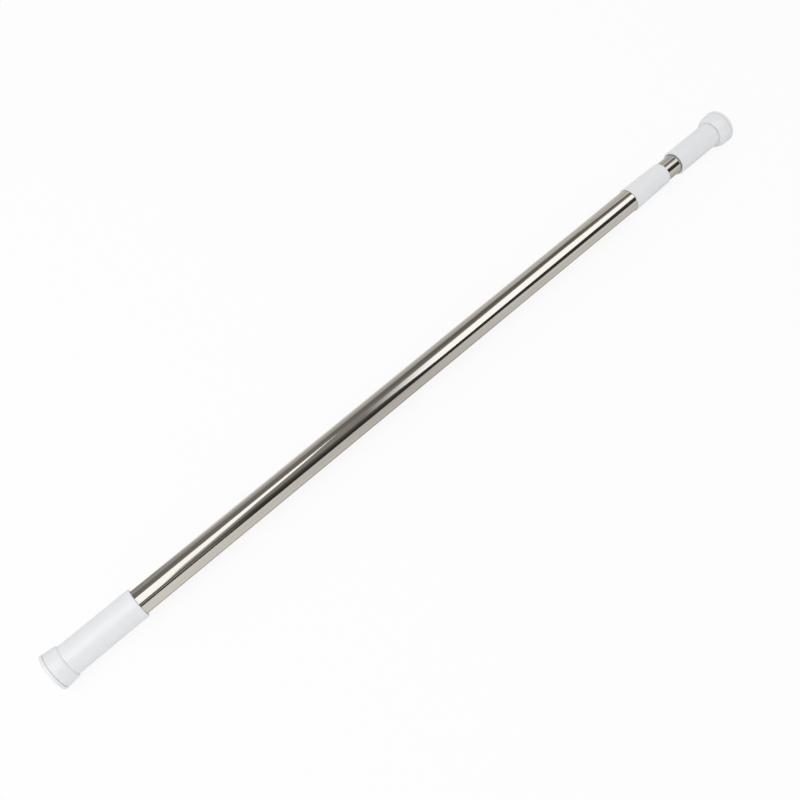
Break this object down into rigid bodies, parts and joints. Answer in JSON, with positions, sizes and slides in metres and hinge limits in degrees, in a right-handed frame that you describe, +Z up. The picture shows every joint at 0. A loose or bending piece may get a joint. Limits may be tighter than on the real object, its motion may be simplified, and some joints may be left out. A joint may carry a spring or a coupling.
{
  "type": "extendable curtain rod",
  "caption": "Telescoping spring-tension curtain rod: two polished steel tubes with white end sleeves, flared feet and wall pads, held between walls by a twist lock.",
  "frame": {"origin": "centre of the wall face of the outer tube's end", "axes": "+X along the rod towards the telescoping end, +Z up as it hangs between two walls"},
  "size_m": [0.7749, 0.0332, 0.0332],
  "materials": {
    "polished_steel": "polished stainless steel tube",
    "white_plastic": "glossy white moulded plastic",
    "white_rubber": "soft white rubber",
    "natural_nylon": "natural moulded nylon",
    "zinc_steel": "zinc-plated steel",
    "spring_steel": "drawn spring wire"
  },
  "bodies": {
    "outer_rod": {"outer_tube": "polished_steel", "guide_collar": "white_plastic", "outer_sleeve": "white_plastic", "outer_foot": "white_plastic", "outer_wall_pad": "white_rubber"},
    "lock_collet": {"lock_collet": "natural_nylon"},
    "lock_cone": {"cone_nut": "natural_nylon"},
    "lock_spindle": {"lock_spindle": "natural_nylon", "stop_washer": "zinc_steel", "spindle_screws": "zinc_steel", "spring_washer": "zinc_steel", "pressure_spring": "spring_steel"},
    "inner_rod": {"inner_tube": "polished_steel", "guide_bush": "natural_nylon", "spring_stop": "natural_nylon", "inner_sleeve": "white_plastic", "inner_foot": "white_plastic", "inner_wall_pad": "white_rubber"}
  },
  "joints": [
    {"name": "telescope", "type": "slide", "parent": "outer_rod", "child": "lock_collet", "axis": [1, 0, 0], "range_m": [0, 0.5]},
    {"name": "lock_twist", "type": "hinge", "parent": "lock_collet", "child": "lock_spindle", "pos_m": [0.0614, 0, 0], "axis": [1, 0, 0], "range_deg": [0, 180]},
    {"name": "cone_feed", "type": "slide", "parent": "lock_collet", "child": "lock_cone", "axis": [1, 0, 0], "range_m": [0, 0.00125]},
    {"name": "spring_press", "type": "slide", "parent": "lock_spindle", "child": "inner_rod", "axis": [1, 0, 0], "range_m": [-0.016, 0], "stiffness_N_per_m": 2000, "springref_m": 0.01, "deforming": ["pressure_spring"]}
  ],
  "couplings": [
    {"joint": "cone_feed", "follows": "lock_twist", "m_per_rad": 0.00039788}
  ]
}
